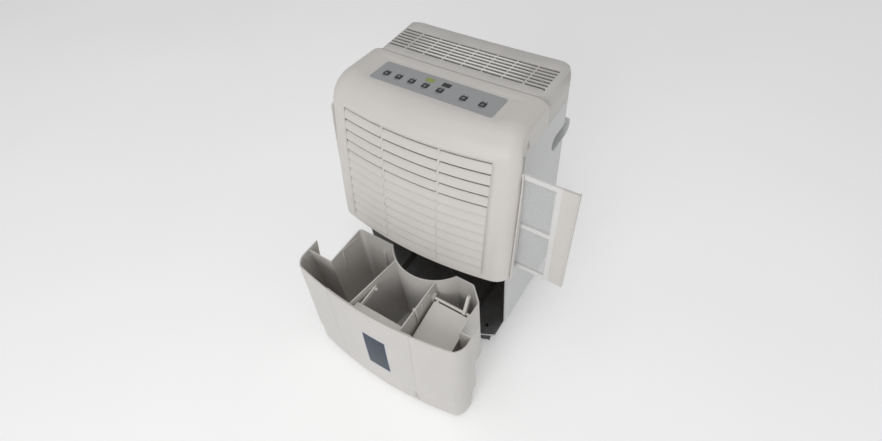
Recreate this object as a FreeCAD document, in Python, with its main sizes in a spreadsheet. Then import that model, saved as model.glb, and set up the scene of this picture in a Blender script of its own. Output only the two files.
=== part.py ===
import FreeCAD, Part
import math
import os
import re
import Sketcher

# Portable dehumidifier with its water bucket and its air filter drawn part way out.
# Frame: X to the right, -Y to the front, +Z up, millimetres. The origin is on the floor under
# the middle of the cabinet. The bucket pieces are drawn in their parked place and moved
# forward by "bucket_pull"; the filter pieces are moved to the right by "filter_pull".

V = FreeCAD.Vector
doc = FreeCAD.newDocument("dehumidifier")
sheet = doc.addObject("Spreadsheet::Sheet", "Sizes")

DRIVING = [
    # cabinet
    ("cab_width", 366), ("cab_rear", 126), ("cab_floor", 60), ("cab_top", 548), ("skin", 2.5),
    ("rear_corner", 36), ("side_front_low", 130), ("side_front_mid", 158), ("side_front_top", 121),
    ("pan_thick", 6), ("pan_front", 200), ("pan_nose", 118), ("pan_cheek", 170),
    # front shape shared by the hood and the bucket
    ("front_reach", 218.4), ("swell_radius", 2584), ("swell_level", -30), ("bow_radius", 900),
    ("hood_width", 406), ("front_corner", 36), ("crest", 612), ("top_fall", 0.07),
    ("shoulder", 60), ("crown", 48), ("hood_low", 303), ("hood_wall", 3), ("louvre_depth", 8),
    ("seam", 5), ("seam_gap", 0.6), ("band_low", 566), ("flange_high", 122), ("flange_low", 155),
    ("flange_bend", 26), ("taper", 15), ("taper_start", 100),
    # louvres and top grille
    ("louvre_rows", 12), ("louvre_pitch", 21.7), ("louvre_top", 568), ("louvre_slot", 6),
    ("louvre_half", 155), ("louvre_post", 60), ("post_width", 6), ("louvre_tilt", 30),
    ("grille_rows", 7), ("grille_cols", 8), ("grille_pitch", 9.9), ("grille_slot", 5.6),
    ("grille_half", 166), ("grille_front", 27), ("grille_post", 3),
    # control strip on the top
    ("strip_length", 250), ("strip_depth", 58), ("strip_y", -54), ("strip_thick", 2),
    ("fit_gap", 0.3), ("key_size", 12), ("key_travel", 0.7), ("key_stand", 0.9),
    ("board_drop", 14), ("display_width", 17), ("display_depth", 12),
    # bucket
    ("bucket_pull", 159), ("rim", 290), ("tub_rim", 286), ("skirt_low", 12), ("tub_floor", 69.4),
    ("tub_wall", 2.5), ("tub_left", 142), ("tub_right", 176), ("tub_chamfer", 30),
    ("tub_step", 133), ("tub_back", 34),
    ("return_high", 109), ("return_low", 160), ("panel_half", 100), ("panel_thick", 2.2),
    ("panel_gap", 0.4), ("cover_radius", 90), ("cover_gap", 4), ("cover_x", 27),
    ("cover_y", 17.4), ("left_part_front", -43), ("left_part_back", -25), ("mid_part", 74),
    ("window_x", 10), ("window_width", 56), ("window_low", 95), ("window_high", 216),
    ("rail_high", 3), ("rail_x", 110),
    # bail handle and float of the bucket
    ("pivot_y", -131), ("pivot_z", 264), ("peg_radius", 3), ("pin_gap", 0.08),
    ("grip_reach", 52), ("grip_left", -40), ("grip_right", 70), ("float_y", -80),
    ("float_z", 248), ("float_width", 84), ("float_length", 88), ("float_thick", 26),
    ("float_slope", 12),
    # inside of the cabinet
    ("wall_y", 30), ("wall_thick", 2), ("tray_low", 292), ("tray_high", 300), ("tray_front", 150),
    ("deck_thick", 3), ("coil_half", 140), ("coil_low", 302.5), ("coil_high", 520),
    ("evap_y", -100), ("evap_depth", 22), ("cond_y", -66), ("cond_depth", 28),
    ("fan_z", 418), ("fan_radius", 78), ("fan_width", 46), ("fan_y", -10), ("scroll_gap", 24),
    ("motor_radius", 40), ("motor_length", 46), ("comp_radius", 58), ("comp_high", 262),
    # filter
    ("filter_pull", 112), ("filter_y", -119.5), ("filter_low", 308), ("filter_high", 551),
    ("filter_thick", 5), ("filter_left", -150), ("filter_right", 185.6), ("filter_rim", 10),
    ("filter_lean", 3), ("cover_length", 28), ("cover_lip", 2), ("slot_gap", 1.2),
    # carrying recess
    ("cup_y", 83), ("cup_z", 472), ("cup_length", 84), ("cup_high", 40), ("cup_deep", 26),
    # casters
    ("wheel_radius", 20), ("wheel_width", 14), ("caster_x", 152), ("caster_front", 158),
    ("caster_back", 92), ("trail", 12), ("stem_radius", 4), ("axle_radius", 2.5),
    # rear fittings
    ("port_x", -110), ("port_z", 112), ("port_radius", 9), ("port_bore", 6.5),
    ("port_length", 22), ("gland_x", 122), ("gland_z", 100), ("gland_radius", 9),
    ("cord_bore", 3.6), ("screw_head", 3.6),
]

for row, (alias, value) in enumerate(DRIVING, start=1):
    sheet.set("A%d" % row, alias)
    sheet.set("B%d" % row, str(value))
    sheet.setAlias("B%d" % row, alias)
doc.recompute()

NAMES = {alias for alias, value in DRIVING}
WORD = re.compile(r"[a-z][a-z_]*")
parts = []


# ---- helpers -------------------------------------------------------------------------

def size(alias):
    return float(sheet.get(alias))


def expr(text):
    """Write the sheet's name before each of its words in an expression."""
    return WORD.sub(lambda m: "Sizes." + m.group() if m.group() in NAMES else m.group(), str(text))


def bind(obj, **sizes):
    for prop, text in sizes.items():
        obj.setExpression(prop.replace("__", "."), expr(text))
    return obj


def keep(obj, label):
    """Name a finished sub-part; its label names its file."""
    obj.Label = label
    parts.append(obj)
    return obj


def place(obj, px="0", py="0", pz="0"):
    for prop, text in (("x", px), ("y", py), ("z", pz)):
        obj.setExpression("Placement.Base." + prop, expr(text))
    return obj


def box(x_low, x_high, y_low, y_high, z_low, z_high, name="Block"):
    obj = doc.addObject("Part::Box", name)
    bind(obj, Length="(%s) - (%s)" % (x_high, x_low), Width="(%s) - (%s)" % (y_high, y_low))
    bind(obj, Height="(%s) - (%s)" % (z_high, z_low))
    return place(obj, x_low, y_low, z_low)


TURN = {
    "x": FreeCAD.Rotation(V(0, 1, 0), 90),
    "y": FreeCAD.Rotation(V(1, 0, 0), -90),
    "z": FreeCAD.Rotation(),
}


def rod(radius, length, px, py, pz, axis="z", name="Rod"):
    """Cylinder that starts at a point and runs along +X, +Y or +Z."""
    obj = doc.addObject("Part::Cylinder", name)
    bind(obj, Radius=radius, Height=length)
    obj.Placement = FreeCAD.Placement(V(), TURN[axis])
    return place(obj, px, py, pz)


def cut(base, *tools):
    obj = doc.addObject("Part::Cut", "Cut")
    obj.Base = base
    obj.Tool = tools[0] if len(tools) == 1 else fuse(*tools)
    return obj


def fuse(*shapes):
    obj = doc.addObject("Part::MultiFuse", "Fuse")
    obj.Shapes = list(shapes)
    return obj


def common(*shapes):
    obj = doc.addObject("Part::MultiCommon", "Common")
    obj.Shapes = list(shapes)
    return obj


def computed(shape, name="Shaped"):
    obj = doc.addObject("Part::Feature", name)
    obj.Shape = shape
    return obj


def rounded(base, radius, chosen):
    """Fillet the edges of a Part object that a test picks out."""
    doc.recompute()
    obj = doc.addObject("Part::Fillet", "Rounded")
    obj.Base = base
    picked = [i for i, e in enumerate(base.Shape.Edges, start=1) if chosen(e)]
    obj.Edges = [(i, radius, radius) for i in picked]
    return obj


def body(name):
    return doc.addObject("PartDesign::Body", name)


def base_plane(owner, role):
    return next(f for f in owner.Origin.OriginFeatures if f.Role == role)


def sketch(owner, role, lift="0"):
    """Sketch on one of the body's own origin planes, lifted along its normal."""
    obj = owner.newObject("Sketcher::SketchObject", "Outline")
    obj.AttachmentSupport = [(base_plane(owner, role), "")]
    obj.MapMode = "FlatFace"
    obj.setExpression("AttachmentOffset.Base.z", expr(lift))
    return obj


def polygon(owner, role, points, lift="0"):
    """Closed outline whose corners are bound to expressions."""
    obj = sketch(owner, role, lift)
    rough = [V(10 * math.cos(-k), 10 * math.sin(-k), 0) for k in range(len(points))]
    last = len(points) - 1
    for k, start in enumerate(rough):
        obj.addGeometry(Part.LineSegment(start, rough[0] if k == last else rough[k + 1]))
    for k in range(len(points)):
        obj.addConstraint(Sketcher.Constraint("Coincident", k, 2, 0 if k == last else k + 1, 1))
    for k, (across, up) in enumerate(points):
        for kind, text in (("DistanceX", across), ("DistanceY", up)):
            index = obj.addConstraint(Sketcher.Constraint(kind, -1, 1, k, 1, 1.0))
            obj.setExpression("Constraints[%d]" % index, expr(text))
    return obj


def rectangle(owner, role, left, right, low, high, lift="0"):
    corners = [(left, low), (right, low), (right, high), (left, high)]
    return polygon(owner, role, corners, lift)


def circle(owner, role, across, up, radius, lift="0"):
    obj = sketch(owner, role, lift)
    obj.addGeometry(Part.Circle(V(1, 1, 0), V(0, 0, 1), 2))
    for kind, text in (("DistanceX", across), ("DistanceY", up)):
        index = obj.addConstraint(Sketcher.Constraint(kind, -1, 1, 0, 3, 1.0))
        obj.setExpression("Constraints[%d]" % index, expr(text))
    index = obj.addConstraint(Sketcher.Constraint("Radius", 0, 2.0))
    obj.setExpression("Constraints[%d]" % index, expr(radius))
    return obj


def pad(owner, profile, length, reverse=False, middle=False):
    obj = owner.newObject("PartDesign::Pad", "Pad")
    obj.Profile = profile
    obj.setExpression("Length", expr(length))
    obj.Reversed = reverse
    obj.Midplane = middle
    owner.Tip = obj
    return obj


def pocket(owner, profile, length, reverse=False):
    obj = owner.newObject("PartDesign::Pocket", "Pocket")
    obj.Profile = profile
    obj.setExpression("Length", expr(length))
    obj.Reversed = reverse
    owner.Tip = obj
    return obj


def soften(owner, radius, chosen):
    """Fillet the edges of a body that a test picks out."""
    doc.recompute()
    tip = owner.Tip
    picked = ["Edge%d" % i for i, e in enumerate(tip.Shape.Edges, start=1) if chosen(e)]
    obj = owner.newObject("PartDesign::Fillet", "Fillet")
    obj.Base = (tip, picked)
    obj.setExpression("Radius", expr(radius))
    owner.Tip = obj
    return obj


def upright(edge):
    return edge.BoundBox.XLength < 0.01 and edge.BoundBox.YLength < 0.01


def level(edge, height):
    return abs(edge.BoundBox.ZMin - height) < 0.01 and abs(edge.BoundBox.ZMax - height) < 0.01


# ---- shapes that the hood and the bucket share ----------------------------------------

REACH = size("front_reach")
SWELL = size("swell_radius")
SWELL_Z = size("swell_level")
BOW = size("bow_radius")
CREST = size("crest")
FALL = size("top_fall")
SPIN = 24.0
AXIS = V(0, BOW - REACH, 0)


def front_y(height, inset=0.0):
    """Y of the front face on the middle line at a height."""
    reach = SWELL - inset
    return SWELL - REACH - math.sqrt(reach ** 2 - (height - SWELL_Z) ** 2)


def face_y(across, height, inset=0.0):
    """Y of the bowed front face away from the middle line."""
    radius = AXIS.y - front_y(height, inset)
    return AXIS.y - math.sqrt(radius ** 2 - across ** 2)


def top_z(depth):
    """Height of the sloping top on the middle line."""
    return CREST - FALL * (depth + 60)


def front_block(inset, low, back):
    """Solid behind the swelled, bowed front, under the shoulder and the sloping top."""
    slant = math.hypot(1, FALL)
    soft = size("shoulder") - inset
    crest = top_z(0) - inset * slant
    reach = SWELL - inset
    middle = SWELL - REACH
    rise = crest - soft * slant - SWELL_Z
    a = 1 + FALL ** 2
    b = -2 * middle - 2 * FALL * rise
    c = middle ** 2 + rise ** 2 - (reach - soft) ** 2
    cy = (-b - math.sqrt(b ** 2 - 4 * a * c)) / (2 * a)
    cz = crest - FALL * cy - soft * slant
    out = V(0, cy - middle, cz - SWELL_Z).normalize()
    up = V(0, FALL, 1).normalize()
    centre = V(0, cy, cz)
    bend_low = centre + out * soft
    bend_high = centre + up * soft
    bend_mid = centre + (out + up).normalize() * soft
    half_way = (low + bend_low.z) / 2
    toe = V(0, front_y(low, inset), low)
    heel = V(0, back, low)
    nape = V(0, back, crest - FALL * back)
    edges = [
        Part.Arc(toe, V(0, front_y(half_way, inset), half_way), bend_low).toShape(),
        Part.Arc(bend_low, bend_mid, bend_high).toShape(),
        Part.makeLine(bend_high, nape),
        Part.makeLine(nape, heel),
        Part.makeLine(heel, toe),
    ]
    face = Part.Face(Part.Wire(edges))
    face.rotate(AXIS, V(0, 0, 1), -SPIN)
    return face.revolve(AXIS, V(0, 0, 1), 2 * SPIN)


def arch(half, low, high, radius):
    """Front view outline with rounded upper corners, run through the whole depth."""
    cut_in = radius * (1 - math.sqrt(0.5))
    front = -400.0
    depth = 700.0
    feet = [V(-half, front, low), V(half, front, low)]
    sides = [V(-half, front, high - radius), V(half, front, high - radius)]
    tops = [V(radius - half, front, high), V(half - radius, front, high)]
    mids = [V(cut_in - half, front, high - cut_in), V(half - cut_in, front, high - cut_in)]
    edges = [
        Part.makeLine(feet[0], sides[0]),
        Part.Arc(sides[0], mids[0], tops[0]).toShape(),
        Part.makeLine(tops[0], tops[1]),
        Part.Arc(tops[1], mids[1], sides[1]).toShape(),
        Part.makeLine(sides[1], feet[1]),
        Part.makeLine(feet[1], feet[0]),
    ]
    return Part.Face(Part.Wire(edges)).extrude(V(0, depth, 0))


def cornered(half, radius, low, high, inset=0.0):
    """Plan outline with rounded front corners that lean with the front face."""
    across = half - radius
    spare = 3.0
    ends = []
    for height in (low, high):
        reach = AXIS.y - front_y(height, inset) - radius + spare
        ends.append(AXIS.y - math.sqrt(reach ** 2 - across ** 2))
    lean = V(0, ends[1] - ends[0], high - low)
    y = ends[0]
    slip = radius * math.sqrt(0.5)
    back = 400.0
    nose = y - radius
    edges = [
        Part.makeLine(V(-half, back, low), V(-half, y, low)),
        Part.Arc(V(-half, y, low), V(-across - slip, y - slip, low), V(-across, nose, low)).toShape(),
        Part.makeLine(V(-across, nose, low), V(0, nose - 30, low)),
        Part.makeLine(V(0, nose - 30, low), V(across, nose, low)),
        Part.Arc(V(across, nose, low), V(across + slip, y - slip, low), V(half, y, low)).toShape(),
        Part.makeLine(V(half, y, low), V(half, back, low)),
        Part.makeLine(V(half, back, low), V(-half, back, low)),
    ]
    return Part.Face(Part.Wire(edges)).extrude(lean)


def side_view(points, half=300.0):
    """Prism across the whole width from an outline of (y, z) points."""
    wire = Part.makePolygon([V(-half, y, z) for y, z in points + points[:1]])
    return Part.Face(wire).extrude(V(2 * half, 0, 0))


def slab(x_low, x_high, y_low, y_high, z_low, z_high):
    return Part.makeBox(x_high - x_low, y_high - y_low, z_high - z_low, V(x_low, y_low, z_low))


# ---- hood, louvres and top cap ----------------------------------------------------------

def hood_side():
    """Side outline of the hood: a deep front flange under a narrow band to the seam."""
    low = size("hood_low")
    band = size("band_low")
    bend = size("flange_bend")
    back = size("seam") - size("seam_gap")
    high = -size("flange_high")
    return side_view([
        (-400, low - 1), (-size("flange_low"), low - 1), (high, band - bend),
        (high + bend * 0.3, band - bend * 0.3), (high + bend, band), (back, band),
        (back, 700), (-400, 700),
    ])


def hood_plan(inset):
    """Plan outline that narrows the hood from its shoulders to the seam."""
    half = size("hood_width") / 2 - inset
    rear = half - size("taper")
    start = -size("taper_start")
    seam = size("seam")
    return plan_prism([
        (-half, -400), (half, -400), (half, start), (rear, seam), (rear, 200),
        (-rear, 200), (-rear, seam), (-half, start)], size("hood_low") - 40, CREST + 40)


def louvre_slots():
    """Rows of slots in three columns; each slot climbs inward so that rain stays out."""
    rows = []
    posts = [-size("louvre_half"), -size("louvre_post"), size("louvre_post"), size("louvre_half")]
    gap = size("post_width") / 2
    for row in range(int(size("louvre_rows"))):
        height = size("louvre_top") - row * size("louvre_pitch")
        for column in range(3):
            start = posts[column] + (0 if column == 0 else gap)
            stop = posts[column + 1] - (0 if column == 2 else gap)
            slot = Part.makeBox(stop - start, 80, size("louvre_slot"), V(start, -30, 0))
            slot.rotate(V(0, 0, 0), V(1, 0, 0), size("louvre_tilt"))
            slot.translate(V(0, face_y(size("louvre_post"), height), height))
            rows.append(slot)
    return Part.makeCompound(rows)


def top_frame(offset):
    """Placement on the sloping top at the control strip, lifted by an offset."""
    tilt = -math.degrees(math.atan(FALL))
    y = size("strip_y")
    lean = FreeCAD.Rotation(V(1, 0, 0), tilt)
    return FreeCAD.Placement(V(0, y, top_z(y)) + lean.multVec(V(0, 0, offset)), lean)


KEYS = [(-102, 0), (-76, 0), (-48, 0), (-19, 0), (11, 0), (58, 0), (95, 0)]
KEY_Y = -5.0
DISPLAYS = [(-21, 14), (13, 14)]


def on_top(shape, offset=0.0):
    shape.Placement = top_frame(offset).multiply(shape.Placement)
    return shape


def key_wells(gap, low, high):
    wide = size("key_size") + 2 * gap
    wells = []
    for across, along in KEYS:
        corner = V(across - wide / 2, KEY_Y + along - wide / 2, low)
        wells.append(Part.makeBox(wide, wide, high - low, corner))
    return wells


def display_wells(gap, low, high):
    wide = size("display_width") + 2 * gap
    deep = size("display_depth") + 2 * gap
    wells = []
    for across, along in DISPLAYS:
        corner = V(across - wide / 2, along - deep / 2, low)
        wells.append(Part.makeBox(wide, deep, high - low, corner))
    return wells


def make_hood():
    half = size("hood_width") / 2
    low = size("hood_low")
    wall = size("hood_wall")
    deep = size("louvre_depth")
    crown = size("crown")
    corner = size("front_corner")
    outer = front_block(0, low - 20, 150).common(arch(half, low, CREST + 6, crown))
    outer = outer.common(cornered(half, corner, low - 20, CREST + 20))
    outer = outer.common(hood_side()).common(hood_plan(0))
    inner = front_block(deep, low - 40, 160)
    inner = inner.common(arch(half - wall, low - 30, CREST + 3, crown - wall))
    inner = inner.common(cornered(half - wall, corner - wall, low - 40, CREST + 20, deep))
    roof = on_top(slab(-300, 300, -300, 300, -60, -wall))
    attic = front_block(wall, low + 255, 160).common(roof)
    attic = attic.common(arch(half - wall, low, CREST + 3, crown - wall))
    attic = attic.common(cornered(half - wall, corner - wall, low, CREST + 20, wall))
    inner = inner.fuse(attic).common(hood_plan(wall))
    shell = outer.cut(inner).cut(louvre_slots())
    long = size("strip_length") + 2 * size("fit_gap")
    deep = size("strip_depth") + 2 * size("fit_gap")
    seat = Part.makeBox(long, deep, 20, V(-long / 2, -deep / 2, -size("strip_thick")))
    shell = shell.cut(on_top(seat))
    for well in key_wells(size("fit_gap"), -30, 10) + display_wells(size("fit_gap"), -30, 10):
        shell = shell.cut(on_top(well))
    return keep(computed(shell.removeSplitter(), "Hood"), "front_hood")


def grille_slots():
    """Slots of the air outlet in the top cap."""
    wide = 2 * size("grille_half") / size("grille_cols")
    slots = []
    for row in range(int(size("grille_rows"))):
        y = size("grille_front") + row * size("grille_pitch")
        for column in range(int(size("grille_cols"))):
            x = column * wide - size("grille_half")
            corner = V(x + size("grille_post") / 2, y, 560)
            slots.append(Part.makeBox(wide - size("grille_post"), size("grille_slot"), 80, corner))
    return Part.makeCompound(slots)


def make_top_cap():
    half = size("cab_width") / 2
    rear = size("cab_rear")
    low = size("cab_top") + size("seam_gap")
    wall = size("hood_wall")
    round_plan = size("rear_corner")
    crown = size("crown") - 12

    def loaf(inset, floor):
        plan = slab(-half + inset, half - inset, size("seam"), rear - inset, floor, 700)
        posts = [e for e in plan.Edges if upright(e) and e.BoundBox.YMin > 0.5 * rear]
        plan = plan.makeFillet(round_plan - inset, posts)
        dome = front_block(inset, floor - 5, 200)
        dome = dome.common(arch(half - inset, floor - 5, CREST - 2 - inset, crown - inset))
        return dome.common(plan)

    shell = loaf(0, low).cut(loaf(wall, low - 10)).cut(grille_slots())
    shell = shell.cut(slab(-half, half, 0, size("seam") + 2 * wall, low - 1, CREST - 60))
    return keep(computed(shell.removeSplitter(), "Cap"), "top_cap")


def make_control_strip():
    long = size("strip_length")
    deep = size("strip_depth")
    thick = size("strip_thick")
    strip = Part.makeBox(long, deep, thick, V(-long / 2, -deep / 2, -thick))
    strip = strip.makeFillet(5, [e for e in strip.Edges if upright(e)])
    for well in key_wells(size("fit_gap"), -9, 9) + display_wells(0, -9, 9):
        strip = strip.cut(well)
    keep(computed(on_top(strip), "Strip"), "control_strip")
    for name, well in zip(("display_humidity", "display_status"), display_wells(0, -thick, -0.4)):
        keep(computed(on_top(well), "Display"), name)


def make_keys():
    """Push keys: a cap in the strip's hole over a stem that stops above the board."""
    wide = size("key_size")
    stand = size("key_stand")
    drop = size("board_drop") - size("key_travel") - 0.6
    for number, (across, along) in enumerate(KEYS, start=1):
        y = KEY_Y + along
        cap = Part.makeBox(wide, wide, stand + 5, V(across - wide / 2, y - wide / 2, -5))
        cap = cap.makeFillet(1.5, [e for e in cap.Edges if upright(e)])
        stem = Part.makeCylinder(2.5, drop - 5, V(across, y, -drop))
        keep(computed(on_top(cap.fuse(stem)), "Key"), "key_%d" % number)


def make_control_board():
    long = size("strip_length") - 10
    deep = size("strip_depth") - 8
    drop = size("board_drop")
    board = Part.makeBox(long, deep, 1.6, V(-long / 2, -deep / 2, -drop - 1.6))
    chips = [Part.makeBox(22, 12, 3, V(x, -16, -drop - 4.6)) for x in (-80, -10, 60)]
    lugs = [Part.makeBox(8, 8, 10, V(x, 14, -drop - 11.6)) for x in (-100, 92)]
    keep(computed(on_top(board.multiFuse(chips + lugs)), "Board"), "control_board")


# ---- cabinet ------------------------------------------------------------------------------

def make_base_pan():
    pan = body("BasePan")
    edge = "cab_width/2 - skin"
    outline = polygon(pan, "XY_Plane", [
        ("-(%s)" % edge, "cab_rear - skin"), ("-(%s)" % edge, "-pan_cheek"),
        ("-pan_nose", "-pan_front"), ("pan_nose", "-pan_front"),
        (edge, "-pan_cheek"), (edge, "cab_rear - skin"),
    ], "cab_floor")
    pad(pan, outline, "pan_thick")
    soften(pan, "rear_corner - skin", lambda e: upright(e) and e.BoundBox.YMin > 0)
    for side in ("-caster_x", "caster_x"):
        for y in ("-caster_front", "caster_back"):
            hole = circle(pan, "XY_Plane", side, y, "stem_radius + 0.5", "cab_floor")
            pocket(pan, hole, "pan_thick", reverse=True)
    return keep(pan, "base_pan")


def cup_profile(grow, x_low, length):
    """Oval prism of the carrying recess, across the width."""
    y = size("cup_y")
    z = size("cup_z")
    reach = (size("cup_length") - size("cup_high")) / 2
    r = size("cup_high") / 2 + grow
    edges = [
        Part.makeLine(V(x_low, y - reach, z + r), V(x_low, y + reach, z + r)),
        Part.Arc(V(x_low, y + reach, z + r), V(x_low, y + reach + r, z),
                 V(x_low, y + reach, z - r)).toShape(),
        Part.makeLine(V(x_low, y + reach, z - r), V(x_low, y - reach, z - r)),
        Part.Arc(V(x_low, y - reach, z - r), V(x_low, y - reach - r, z),
                 V(x_low, y - reach, z + r)).toShape(),
    ]
    return Part.Face(Part.Wire(edges)).extrude(V(length, 0, 0))


def filter_turn(obj_or_shape):
    """Lean a shape back with the filter, about the filter's middle line."""
    middle = (size("filter_low") + size("filter_high")) / 2
    centre = V(0, size("filter_y"), middle)
    obj_or_shape.rotate(centre, V(1, 0, 0), -size("filter_lean"))
    return obj_or_shape


def filter_slot():
    gap = size("slot_gap")
    y = size("filter_y")
    thick = size("filter_thick") / 2 + gap
    slot = slab(0, 300, y - thick, y + thick, size("filter_low") - gap, size("filter_high") + gap)
    return filter_turn(slot)


def make_cabinet_shell():
    half = size("cab_width") / 2
    rear = size("cab_rear")
    floor = size("cab_floor")
    top = size("cab_top")
    skin = size("skin")

    def jacket(inset, low, high):
        block = slab(-half + inset, half - inset, -300, rear - inset, low, high)
        posts = [e for e in block.Edges if upright(e) and e.BoundBox.YMin > 0]
        return block.makeFillet(size("rear_corner") - inset, posts)

    shell = jacket(0, floor, top).cut(jacket(skin, floor - 10, top + 10))
    waist = size("rim") + 2
    shell = shell.cut(side_view([
        (-400, 0), (-size("side_front_low"), 0), (-size("side_front_low"), waist),
        (-size("side_front_mid"), waist), (-size("side_front_top"), top), (-400, top)]))
    toes = [e for e in shell.Edges
            if abs(e.BoundBox.YMax + size("side_front_low")) < 0.01 and level(e, floor)]
    shell = shell.makeFillet(14, toes)
    shell = shell.cut(filter_slot())
    shell = shell.cut(cup_profile(0.2, -300, 600))
    port = Part.makeCylinder(size("port_radius"), 60, V(size("port_x"), rear - 30, size("port_z")),
                             V(0, 1, 0))
    gland = Part.makeCylinder(size("gland_radius"), 60,
                              V(size("gland_x"), rear - 30, size("gland_z")), V(0, 1, 0))
    shell = shell.cut(port).cut(gland)
    return keep(computed(shell.removeSplitter(), "Jacket"), "cabinet_shell")


def make_handle_cups():
    """Oval carrying recesses, closed inside, with a thin flange on the cabinet's side."""
    half = size("cab_width") / 2
    wall = 2.0
    for label, side in (("handle_cup_left", -1), ("handle_cup_right", 1)):
        deep = size("cup_deep")
        inner = half - deep
        cup = cup_profile(0, inner, deep).cut(cup_profile(-wall, inner + wall, deep))
        if side < 0:
            cup = cup.mirror(V(), V(1, 0, 0))
        keep(computed(cup, "Cup"), label)


def make_bulkhead():
    """Dark wall behind the bucket with a half-round cover over the compressor."""
    half = size("cab_width") / 2 - size("skin")
    low = size("cab_floor") + size("pan_thick")
    high = size("tray_low")
    y = -size("wall_y")
    thick = size("wall_thick")
    centre = V(size("cover_x"), size("cover_y"), low)
    drum = Part.makeCylinder(size("cover_radius"), high - low, centre)
    drum = drum.common(slab(-half, half, -300, y + thick, low, high))
    hollow = Part.makeCylinder(size("cover_radius") - 2.5, 400, centre - V(0, 0, 50))
    wall = slab(-half, half, y, y + thick, low, high).fuse(drum).cut(hollow)
    keep(computed(wall.removeSplitter(), "Bulkhead"), "bulkhead")


def make_deck_and_tray():
    skin_in = "cab_width/2 - skin"
    deck = body("Deck")
    outline = rectangle(deck, "XY_Plane", "-(%s)" % skin_in, skin_in, "wall_thick - wall_y",
                        "cab_rear - skin", "tray_low")
    pad(deck, outline, "deck_thick")
    soften(deck, "rear_corner - skin", lambda e: upright(e) and e.BoundBox.YMin > 0)
    hole = circle(deck, "XY_Plane", "cover_x", "cover_y + 30", "16", "tray_low")
    pocket(deck, hole, "deck_thick", reverse=True)
    keep(deck, "mid_deck")
    tray = body("Tray")
    outline = rectangle(tray, "XY_Plane", "-(%s)" % skin_in, skin_in, "-tray_front",
                        "wall_thick - wall_y", "tray_low")
    pad(tray, outline, "tray_high - tray_low")
    inside = rectangle(tray, "XY_Plane", "3 - (%s)" % skin_in, "(%s) - 3" % skin_in,
                       "3 - tray_front", "wall_thick - wall_y - 3", "tray_low + 2")
    pocket(tray, inside, "tray_high", reverse=True)
    spout = circle(tray, "XY_Plane", "mid_part/2", "-tub_back - 80", "5", "tray_low")
    pocket(tray, spout, "tray_high", reverse=True)
    keep(tray, "drip_tray")


def make_runners():
    left, right = [
        box("%s - 6" % x, "%s + 6" % x, "-pan_front + 8", "-wall_y - 4", "cab_floor + pan_thick",
            "cab_floor + pan_thick + rail_high")
        for x in ("-rail_x", "rail_x")
    ]
    keep(fuse(left, right), "bucket_runners")


# ---- cooling circuit and fan -------------------------------------------------------------------

def finned_coil(name, label, y, depth, fins):
    """Block of plate fins on a core, made as one fin repeated along the coil."""
    coil = body(name)
    plate = rectangle(coil, "XZ_Plane", "4 - coil_half", "coil_half - 4", "coil_low + 6",
                      "coil_high - 6", "-(%s) - 2" % y)
    pad(coil, plate, "(%s) - 4" % depth, reverse=True)
    fin = rectangle(coil, "XZ_Plane", "-coil_half", "-coil_half + 8", "coil_low", "coil_high",
                    "-(%s)" % y)
    first = pad(coil, fin, depth, reverse=True)
    doc.recompute()
    row = coil.newObject("PartDesign::LinearPattern", "Fins")
    row.Originals = [first]
    row.Direction = (base_plane(coil, "X_Axis"), [""])
    row.setExpression("Length", expr("2*coil_half - 8"))
    row.Occurrences = fins
    coil.Tip = row
    return keep(coil, label)


def make_coils():
    finned_coil("Evaporator", "evaporator_coil", "evap_y", "evap_depth", 14)
    finned_coil("Condenser", "condenser_coil", "cond_y", "cond_depth", 14)


def tube(points, radius):
    """Round tube along straight runs that arcs join at each corner."""
    runs = []
    start = points[0]
    for before, corner, after in zip(points, points[1:], points[2:]):
        into = (corner - before).normalize()
        out = (after - corner).normalize()
        reach = 0.42 * min((corner - before).Length, (after - corner).Length)
        half_turn = into.getAngle(out) / 2
        bend = reach / math.tan(half_turn)
        inward = (out - into).normalize()
        middle = corner + inward * (bend / math.cos(half_turn) - bend)
        runs.append(Part.makeLine(start, corner - into * reach))
        runs.append(Part.Arc(corner - into * reach, middle, corner + out * reach).toShape())
        start = corner + out * reach
    runs.append(Part.makeLine(start, points[-1]))
    ring = Part.Wire(Part.makeCircle(radius, points[0], points[1] - points[0]))
    return Part.Wire(runs).makePipeShell([ring], True, False)


def make_refrigerant_lines():
    x = size("cover_x")
    y = size("cover_y") + 30
    deck = size("tray_low")
    coil_end = size("coil_half")
    side = coil_end + 14
    cond = size("cond_y") + size("cond_depth") / 2
    evap = size("evap_y") + size("evap_depth") / 2
    high = size("coil_low") + 150
    foot = size("comp_high") - 8
    low_run = deck + 16
    high_run = deck + 32
    back = size("fan_y") + size("fan_width") + 30
    pressure = tube([V(x - 7, y, foot), V(x - 7, y, low_run), V(x - 7, back, low_run),
                     V(side, back, low_run), V(side, cond, low_run), V(side, cond, high),
                     V(coil_end, cond, high)], 3)
    suction = tube([V(x + 7, y, foot), V(x + 7, y, high_run), V(x + 7, back + 14, high_run),
                    V(side + 10, back + 14, high_run), V(side + 10, evap, high_run),
                    V(side + 10, evap, high + 30), V(coil_end, evap, high + 30)], 3)
    keep(computed(Part.makeCompound([pressure, suction]), "Lines"), "refrigerant_lines")


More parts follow.
